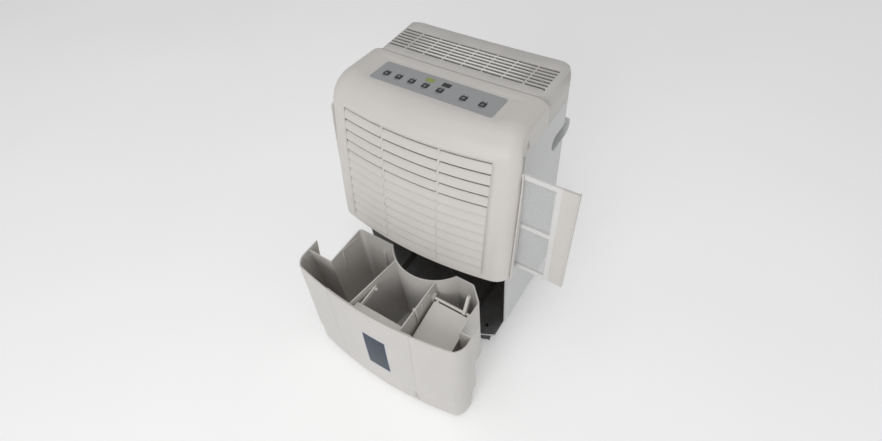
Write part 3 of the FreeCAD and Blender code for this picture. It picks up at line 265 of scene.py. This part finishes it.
class Build:
    """Gathers many small solids into one mesh."""

    def __init__(self):
        self.verts = []
        self.faces = []

    def add(self, verts, faces):
        start = len(self.verts)
        self.verts += [tuple(v) for v in verts]
        self.faces += [tuple(i + start for i in f) for f in faces]

    def loft(self, rings, closed=True, caps=True):
        """Skin through rings of equally many points."""
        count = len(rings[0])
        faces = []
        last = count if closed else count - 1
        for r in range(len(rings) - 1):
            for i in range(last):
                j = (i + 1) % count
                faces.append((r * count + i, r * count + j, (r + 1) * count + j, (r + 1) * count + i))
        if caps:
            faces.append(tuple(range(count))[::-1])
            faces.append(tuple((len(rings) - 1) * count + i for i in range(count)))
        self.add([p for ring in rings for p in ring], faces)

    def tube(self, points, radius, sides=10):
        rings = []
        points = [Vector(p) for p in points]
        side = None
        for k, p in enumerate(points):
            ahead = points[min(k + 1, len(points) - 1)] - points[max(k - 1, 0)]
            ahead.normalize()
            if side is None:
                side = ahead.orthogonal().normalized()
            side = (side - ahead * side.dot(ahead)).normalized()
            other = ahead.cross(side)
            rings.append([p + (side * math.cos(a) + other * math.sin(a)) * radius
                          for a in [2 * math.pi * i / sides for i in range(sides)]])
        self.loft(rings)

    def block(self, low, high, soft=0.6):
        """Box with small chamfers on all of its edges."""
        lx, ly, lz = low
        hx, hy, hz = high
        s = min(soft, (hx - lx) / 2.5, (hy - ly) / 2.5, (hz - lz) / 2.5)

        def ring(z, inset):
            return [(lx + inset, ly + s + inset, z), (lx + s + inset, ly + inset, z),
                    (hx - s - inset, ly + inset, z), (hx - inset, ly + s + inset, z),
                    (hx - inset, hy - s - inset, z), (hx - s - inset, hy - inset, z),
                    (lx + s + inset, hy - inset, z), (lx + inset, hy - s - inset, z)]
        self.loft([ring(lz, s), ring(lz + s, 0), ring(hz - s, 0), ring(hz, s)])

    def disc(self, centre, axis, radius, thick, sides=32, soft=0.5):
        """Cylinder with chamfered rims."""
        axis = Vector(axis).normalized()
        u = axis.orthogonal().normalized()
        v = axis.cross(u)
        centre = Vector(centre)

        def ring(off, r):
            return [centre + axis * off + (u * math.cos(a) + v * math.sin(a)) * r
                    for a in [2 * math.pi * i / sides for i in range(sides)]]
        self.loft([ring(0, radius - soft), ring(soft, radius), ring(thick - soft, radius),
                   ring(thick, radius - soft)])

    def make(self, name, mat, body, smooth=True, angle=40.0):
        return add_mesh(name, self.verts, self.faces, mat, body, smooth, angle)


# ---- the swelled front surface ---------------------------------------------------------------------

MIDDLE = SWELL - REACH
SLANT = math.hypot(1, FALL)
RISE = CREST - FALL * 60 - SHOULDER * SLANT - SWELL_Z
_a = 1 + FALL ** 2
_b = -2 * MIDDLE - 2 * FALL * RISE
_c = MIDDLE ** 2 + RISE ** 2 - (SWELL - SHOULDER) ** 2
BEND_Y = (-_b - math.sqrt(_b * _b - 4 * _a * _c)) / (2 * _a)
BEND_Z = CREST - FALL * 60 - FALL * BEND_Y - SHOULDER * SLANT
_out = Vector((BEND_Y - MIDDLE, BEND_Z - SWELL_Z)).normalized()
BEND_LOW_Z = BEND_Z + _out.y * SHOULDER
TOP_ANGLE = math.atan2(1, FALL)


def front(z, inset=0.0):
    """Depth of the front profile at a height, and its outward normal, on the middle line."""
    if z <= BEND_LOW_Z:
        y = MIDDLE - math.sqrt(SWELL ** 2 - (z - SWELL_Z) ** 2)
        n = ((y - MIDDLE) / SWELL, (z - SWELL_Z) / SWELL)
    else:
        y = BEND_Y - math.sqrt(max(SHOULDER ** 2 - (z - BEND_Z) ** 2, 0))
        n = ((y - BEND_Y) / SHOULDER, (z - BEND_Z) / SHOULDER)
    return y + inset, n


def bowed(x, rho):
    return AXIS_Y - math.sqrt((AXIS_Y - rho) ** 2 - x * x)


def face(x, z, inset=0.0):
    """Point of the front surface, set in by a distance."""
    return (x, bowed(x, front(z, inset)[0]), z)


def surface(x, rho, z, n):
    """Point and unit normal of the bowed surface for a profile point."""
    y = bowed(x, rho)
    reach = AXIS_Y - rho
    out = Vector((x / reach, (y - AXIS_Y) / reach, 0))
    return Vector((x, y, z)), (out * -n[0] + Vector((0, 0, n[1]))).normalized()


def slerp(a, b, t):
    angle = a.angle(b)
    return (a * math.sin((1 - t) * angle) + b * math.sin(t * angle)) / math.sin(angle)


def profile_rows():
    """Rows of the hood from its bottom edge over the shoulder to the seam."""
    rows = []
    heights = [HOOD_LOW, 305, 307.5, HOLE_LOW]
    heights += [HOLE_LOW + PITCH * k / 2 for k in range(1, 2 * ROWS)] + [HOLE_TOP]
    for z in heights:
        rows.append(("front", z))
    start = math.acos(min(1, (BEND_Y - front(HOLE_TOP)[0]) / SHOULDER))
    stop = TOP_ANGLE
    for k in range(1, 13):
        rows.append(("bend", start + (stop - start) * k / 12))
    for k in range(1, 25):
        rows.append(("top", k / 24))
    return rows


def side_limit(y):
    """Half width of the hood at a depth: it narrows behind its shoulders."""
    t = min(1.0, max(0.0, (y - WAIST_FRONT) / (WAIST_BACK - WAIST_FRONT)))
    t = t * t * (3 - 2 * t)
    return HALF + (REAR_HALF - HALF) * t


def rested(p):
    """Flattens the top under the control strip and closes the sides in towards the seam."""
    limit = side_limit(p.y)
    x = max(-limit, min(limit, p.x))
    z = p.z
    if abs(x) < REST_HALF and REST_FRONT < p.y < REST_BACK:
        plane = CREST - FALL * (p.y + 60)
        edge = min(1.0, (REST_HALF - abs(x)) / 12, (p.y - REST_FRONT) / 8, (REST_BACK - p.y) / 8)
        z = z + (min(z, plane - REST_DEPTH) - z) * max(0.0, edge)
    return Vector((x, p.y, z))


def profile_point(row, x):
    kind, value = row
    if kind == "front":
        rho, n = front(value)
        return rho, value, n
    if kind == "bend":
        n = (-math.cos(value), math.sin(value))
        return BEND_Y + n[0] * SHOULDER, BEND_Z + n[1] * SHOULDER, n
    n = (FALL / SLANT, 1 / SLANT)
    begin = BEND_Y - math.cos(TOP_ANGLE) * SHOULDER
    end = AXIS_Y - math.hypot(x, AXIS_Y - SEAM_Y)
    rho = begin + (end - begin) * value
    return rho, CREST - FALL * (rho + 60), n


def edge_of_flange(row_index, rows):
    """Rear edge of the hood's side for a row: down the flange, round the bend, along the band."""
    kind, value = rows[row_index]
    bend_low, band = 540.0, 556.0
    if kind == "front" and value <= bend_low:
        return (-155 + (value - 302) * 33 / 238, value)
    first = next(i for i, r in enumerate(rows) if r[0] == "front" and r[1] > bend_low)
    last = max(i for i, r in enumerate(rows) if r[0] == "bend")
    if kind != "top":
        t = (row_index - first + 1) / (last - first + 1)
        a, b = Vector((-122, bend_low)), Vector((-120.5, 552))
        c, d = Vector((-116, band)), Vector((-88, band))
        p = a * (1 - t) ** 3 + b * 3 * t * (1 - t) ** 2 + c * 3 * t * t * (1 - t) + d * t ** 3
        return (p.x, p.y)
    return (-88 + (SEAM_Y + 88) * value, band)


def make_hood():
    rows = profile_rows()
    columns = [-LOUVRE_HALF + 2 * LOUVRE_HALF * k / 44 for k in range(45)]
    fan_steps, side_steps, lip_steps = 9, 6, 2
    grid = []
    for index, row in enumerate(rows):
        kind = row[0]
        if kind == "front":
            radius = 36.0
        elif kind == "bend":
            radius = 36 + 8 * (row[1] / TOP_ANGLE)
        else:
            radius = 44.0
        half = {}
        for sign in (-1, 1):
            xc = HALF - radius
            for _ in range(5):
                rho, z, n = profile_point(row, xc)
                nx = surface(xc, rho, z, n)[1].x
                xc = HALF - radius * (1 - nx)
            points = []
            for k in range(1, lip_steps + 1):
                x = LOUVRE_HALF + (xc - LOUVRE_HALF) * k / lip_steps
                rho, z, n = profile_point(row, x)
                points.append(surface(x, rho, z, n)[0])
            rho, z, n = profile_point(row, xc)
            p, normal = surface(xc, rho, z, n)
            centre = p - normal * radius
            for k in range(1, fan_steps + 1):
                points.append(centre + slerp(normal, Vector((1, 0, 0)), k / fan_steps) * radius)
            start = points[-1]
            ey, ez = edge_of_flange(index, rows)
            for k in range(1, side_steps + 1):
                t = k / side_steps
                points.append(Vector((HALF, start.y + (ey - start.y) * t, start.z + (ez - start.z) * t)))
            half[sign] = [Vector((sign * q.x, q.y, q.z)) for q in points]
        middle = []
        for x in columns:
            rho, z, n = profile_point(row, x)
            middle.append(surface(x, rho, z, n)[0])
        grid.append([rested(p) for p in half[-1][::-1] + middle + half[1]])
    count = len(grid[0])
    side = fan_steps + side_steps + lip_steps
    hole_rows = [i for i, r in enumerate(rows) if r[0] == "front" and HOLE_LOW <= r[1] <= HOLE_TOP]
    faces = []
    for r in range(len(grid) - 1):
        for c in range(count - 1):
            in_hole = hole_rows[0] <= r < hole_rows[-1] and side <= c < side + len(columns) - 1
            if in_hole:
                continue
            faces.append((r * count + c, r * count + c + 1, (r + 1) * count + c + 1, (r + 1) * count + c))
    hood = add_mesh("hood_shell", [p for row in grid for p in row], faces, WARM, "cabinet", angle=60)
    modify(hood, "SOLIDIFY", thickness=2.6 * MM, offset=-1, use_even_offset=False)
    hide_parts("front_hood")
    return hood


def make_louvres():
    """Clapboard slats in three columns, two posts between them and the frame's returns."""
    slats = Build()
    spans = [(-LOUVRE_HALF, -POST_X - 2), (-POST_X + 2, POST_X - 2), (POST_X + 2, LOUVRE_HALF)]
    closed = [(0.9, 0.3), (0.3, 0.5), (0.0, 1.3), (0.1, 3.6), (1.3, 12.0), (2.9, 20.6), (3.4, 22.2),
              (4.4, 22.4), (4.8, 21.0), (3.2, 10.0), (1.8, 1.2), (1.4, 0.4)]
    opened = [(i, z * 0.76) for i, z in closed]
    for row in range(ROWS):
        lip = HOLE_TOP - PITCH * (row + 1)
        section = opened if row < OPEN_ROWS else closed
        for low, high in spans:
            steps = max(8, int((high - low) / 9))
            rings = []
            for k in range(steps + 1):
                x = low + (high - low) * k / steps
                rings.append([face(x, lip + dz, inset) for inset, dz in section])
            slats.loft(rings)
    slats.make("hood_slats", WARM, "cabinet", angle=35)
    posts = Build()
    for x in (-POST_X, POST_X):
        rings = []
        for k in range(41):
            z = HOLE_LOW - 2 + (HOLE_TOP - HOLE_LOW + 4) * k / 40
            rings.append([face(x - 2.2, z, 1.6), face(x - 1.7, z, 1.1), face(x + 1.7, z, 1.1),
                          face(x + 2.2, z, 1.6), face(x + 2.2, z, 10), face(x - 2.2, z, 10)])
        posts.loft(rings)
    for x, w in ((-LOUVRE_HALF, -1.5), (LOUVRE_HALF, 1.5)):
        rings = []
        for k in range(41):
            z = HOLE_LOW - 2 + (HOLE_TOP - HOLE_LOW + 4) * k / 40
            rings.append([face(x, z, 0.6), face(x + w, z, 0.6), face(x + w, z, 10), face(x, z, 10)])
        posts.loft(rings)
    posts.make("hood_posts", WARM, "cabinet", angle=35)


def top_height(y):
    return CREST - FALL * (y + 60)


def make_outlet_slats():
    """Bars between the outlet slots, crowned in section, in a lighter copy of the cap plastic that paints
    their highlight.
    """
    bars = Build()
    for k in range(BARS):
        y = BAR_FIRST + BAR_PITCH * k
        rings = []
        for i in range(41):
            x = -BAR_HALF + 2 * BAR_HALF * i / 40
            z = top_height(y) + 0.05
            rings.append([(x, y - 2.0, z), (x, y - 1.6, z + 0.55), (x, y, z + 0.75), (x, y + 1.6, z + 0.55),
                          (x, y + 2.0, z), (x, y + 1.5, z - 1.2), (x, y - 1.5, z - 1.2)])
        bars.loft(rings)
    bars.make("outlet_slats", SLAT_PAINTED_HIGHLIGHT, "cabinet", angle=50)


def top_mark(build, x, y, wide, deep, lift):
    """Thin printed bar lying on the sloping top."""
    points = [(x - wide / 2, y - deep / 2), (x + wide / 2, y - deep / 2),
              (x + wide / 2, y + deep / 2), (x - wide / 2, y + deep / 2)]
    build.loft([[(px, py, top_height(py) + lift) for px, py in points],
                [(px, py, top_height(py) + lift + 0.12) for px, py in points]])


def make_key_icons():
    """Generic raised symbols on the keys and plain printed bars on the strip beside them."""
    marks = Build()
    lamps = Build()
    for n in range(1, 8):
        node = NODES["key_%d" % n]
        box = [node.matrix_world @ Vector(c) / MM for c in node.bound_box]
        x = sum(p.x for p in box) / 8
        y = sum(p.y for p in box) / 8
        lift = max(p.z for p in box) - top_height(min(p.y for p in box))
        icon = Build()
        z = top_height(y) + lift

        def lie(points):
            return [(x + px * ICON_SCALE, y + py * ICON_SCALE, z - FALL * py * ICON_SCALE + 0.05)
                    for px, py in points]
        if n % 3 == 0:
            ring = [(3 * math.cos(a), 3 * math.sin(a)) for a in [math.pi * i / 12 for i in range(25)]]
            icon.tube(lie(ring), 0.32, 6)
            icon.tube(lie([(0, 0.6), (0, 4.0)]), 0.32, 6)
        elif n % 3 == 1:
            icon.tube(lie([(-3, -1.6), (0, 2.2), (3, -1.6)]), 0.34, 6)
            icon.tube(lie([(-3, -3.2), (3, -3.2)]), 0.34, 6)
        else:
            icon.tube(lie([(-3, 1.6), (0, -2.2), (3, 1.6)]), 0.34, 6)
            icon.tube(lie([(-3, 3.2), (3, 3.2)]), 0.34, 6)
        icon.make("icon_%d" % n, ICON, "key_%d" % n, angle=60)
        top_mark(marks, x, y - 9.4, 9, 0.7, 0.06)
        for dx in (-3.5, 3.5):
            lamps.disc((x + dx, y + 9.4, top_height(y + 9.4) + 0.05), (0, FALL, 1), 0.9, 0.35, 14, 0.12)
    marks.make("strip_marks", KEY, "cabinet", smooth=False)
    lamps.make("strip_lamps", DARK_LENS, "cabinet", angle=50)


def make_filter_net():
    """Woven strands of the air filter in its two fields, on the filter's leaning plane."""
    net = Build()

    def plane(z):
        return FILTER_Y + FILTER_SLOPE * (z - FILTER_MIDDLE)
    for low, high in ((318.5, 424.5), (435.5, 541.5)):
        rows = int((high - low) / NET_PITCH)
        for k in range(rows + 1):
            z = low + (high - low) * k / rows
            y = plane(z) - 0.35
            net.loft([[(x, y - STRAND, z - STRAND), (x, y + STRAND, z - STRAND),
                       (x, y + STRAND, z + STRAND), (x, y - STRAND, z + STRAND)]
                      for x in (NET_LEFT, NET_RIGHT)])
        for k in range(81):
            x = NET_LEFT + (NET_RIGHT - NET_LEFT) * k / 80
            net.loft([[(x - STRAND, plane(z) + 0.1, z), (x + STRAND, plane(z) + 0.1, z),
                       (x + STRAND, plane(z) + 0.6, z), (x - STRAND, plane(z) + 0.6, z)]
                      for z in (low, high)])
    net = net.make("filter_net", NET, "filter", smooth=False)
    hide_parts("filter_mesh")


def make_bucket_details():
    """Ribs, ring and clip moulded inside the bucket and the trim round its level window."""
    ribs = Build()
    ribs.block((-81.4, -199.5, 190), (-78.6, -195.4, 252), 0.5)
    ribs.tube([(-138.6, -213, 275), (-138.6, -230, 279), (-138.6, -258, 284), (-138.6, -262, 250),
               (-138.6, -265, 214)], 1.0, 8)
    ribs.tube([(78, -275 + 5 * math.cos(a), 268 + 5 * math.sin(a))
               for a in [math.pi * i / 12 for i in range(25)]], 1.1, 8)
    ribs.tube([(78, -253 + 4.5 * math.cos(a), 272 + 4.5 * math.sin(a))
               for a in [0.7 + math.pi * i / 10 for i in range(15)]], 1.1, 8)
    ribs.block((77.6, -300, 236), (79.6, -296, 286), 0.5)
    ribs.make("bucket_ribs", BUCKET, "bucket", angle=50)
    trim = Build()
    corners = [(-18.5, 94.5), (38.5, 94.5), (38.5, 216.5), (-18.5, 216.5)]
    outline = []
    for (ax, az), (bx, bz) in zip(corners, corners[1:] + corners[:1]):
        for k in range(12):
            x = ax + (bx - ax) * k / 12
            z = az + (bz - az) * k / 12
            p = face(x, z, 0.1)
            outline.append((p[0], p[1] - PULL, p[2]))
    trim.tube(outline + outline[:1], 0.7, 8)
    trim.make("window_trim", TRIM, "bucket", angle=60)


def make_back_details():
    """Vent ribs, a blank rating plate and dark crosses on the screw heads, painted shade standing in for
    their cross recesses, on the back.
    """
    ribs = Build()
    for k in range(11):
        z = 330 + 14 * k
        for low, high in ((-92, -3), (3, 92)):
            ribs.block((low, 125.6, z - 2.2), (high, 128.2, z + 2.2), 0.9)
    ribs.make("rear_vents", CABINET, "cabinet", angle=50)
    plate = Build()
    plate.block((18, 125.8, 196), (112, 126.5, 252), 0.3)
    plate.make("rear_plate", TRIM, "cabinet", angle=50)
    cross_shade = Build()
    mesh = NODES["rear_screws"]
    points = [mesh.matrix_world @ v.co / MM for v in mesh.data.vertices]
    back = max(p.y for p in points)
    heads = []
    for p in points:
        if all((p.x - q.x) ** 2 + (p.z - q.z) ** 2 > 200 for q in heads):
            group = [g for g in points if (g.x - p.x) ** 2 + (g.z - p.z) ** 2 < 200]
            heads.append(sum(group, Vector()) / len(group))
    for q in heads:
        # thin dark crosses on the screw heads: painted shade of their cross recesses
        cross_shade.block((q.x - 1.9, back - 0.2, q.z - 0.45), (q.x + 1.9, back + 0.05, q.z + 0.45), 0.1)
        cross_shade.block((q.x - 0.45, back - 0.2, q.z - 1.9), (q.x + 0.45, back + 0.06, q.z + 1.9), 0.1)
    cross_shade.make("screw_cross_shade", KEY, "cabinet", smooth=False)


make_hood()
make_louvres()
make_outlet_slats()
make_key_icons()
make_filter_net()
make_bucket_details()
make_back_details()
for name in ("bucket_tub", "bucket_panel", "bucket_handle", "float_tank", "filter_cover", "filter_frame",
             "top_cap", "control_strip", "handle_cup_left", "handle_cup_right"):
    modify(NODES[name], "WELD", merge_threshold=0.01 * MM)
    soft_edges(NODES[name], 0.5, 50)


# ---- stage, light and camera -----------------------------------------------------------------------

def make_floor():
    mat, tree, bsdf = new_material("studio_floor")
    fac = noise(tree, 1.5, 2.0, 0.5)
    tree.links.new(ramp(tree, fac, [(0.3, (0.90, 0.90, 0.90)), (0.7, (0.93, 0.93, 0.93))]),
                   bsdf.inputs["Base Color"])
    bsdf.inputs["Roughness"].default_value = 0.9
    bsdf.inputs["Emission Color"].default_value = (1, 1, 1, 1)
    bsdf.inputs["Emission Strength"].default_value = 0.22
    data = bpy.data.meshes.new("floor")
    s = 9.0
    data.from_pydata([(-s, -s, 0), (s, -s, 0), (s, s, 0), (-s, s, 0)], [], [(0, 1, 2, 3)])
    data.materials.append(mat)
    floor = bpy.data.objects.new("floor", data)
    scene.collection.objects.link(floor)


def area(name, place, aim, width, power, col=(1, 1, 1)):
    light = bpy.data.lights.new(name, "AREA")
    light.shape = "DISK"
    light.size = width
    light.energy = power
    light.color = col
    obj = bpy.data.objects.new(name, light)
    obj.location = place
    obj.rotation_euler = (Vector(aim) - Vector(place)).to_track_quat("-Z", "Y").to_euler()
    scene.collection.objects.link(obj)


def make_camera():
    az, el, roll, place, f = CAMERA_FIT
    a, e, r = (math.radians(v) for v in (az, el, roll))
    back = Vector((math.sin(a) * math.cos(e), -math.cos(a) * math.cos(e), math.sin(e)))
    right = Vector((math.cos(a), math.sin(a), 0))
    up = back.cross(right)
    right, up = right * math.cos(r) + up * math.sin(r), up * math.cos(r) - right * math.sin(r)
    data = bpy.data.cameras.new("camera")
    data.sensor_width = 36.0
    data.lens = f / 882 * 36.0
    data.clip_start = 0.01
    data.clip_end = 50
    obj = bpy.data.objects.new("camera", data)
    turn = Matrix((right, up, back)).transposed().to_4x4()
    obj.matrix_world = Matrix.Translation(place) @ turn
    scene.collection.objects.link(obj)
    scene.camera = obj


make_floor()
world = bpy.data.worlds.new("studio")
world.use_nodes = True
world.node_tree.nodes["Background"].inputs[0].default_value = (1, 1, 1, 1)
world.node_tree.nodes["Background"].inputs[1].default_value = 0.40
scene.world = world
area("key", (0.5, -2.7, 1.7), (0, -0.1, 0.35), 1.8, 27)
area("top", (0.1, -0.6, 2.6), (0, -0.2, 0.2), 1.4, 9)
area("fill", (-2.4, -1.0, 1.4), (0, 0, 0.3), 2.0, 2)
area("side", (2.6, -0.3, 1.3), (0, 0, 0.3), 1.8, 3)
make_camera()
scene.view_settings.view_transform = "Standard"
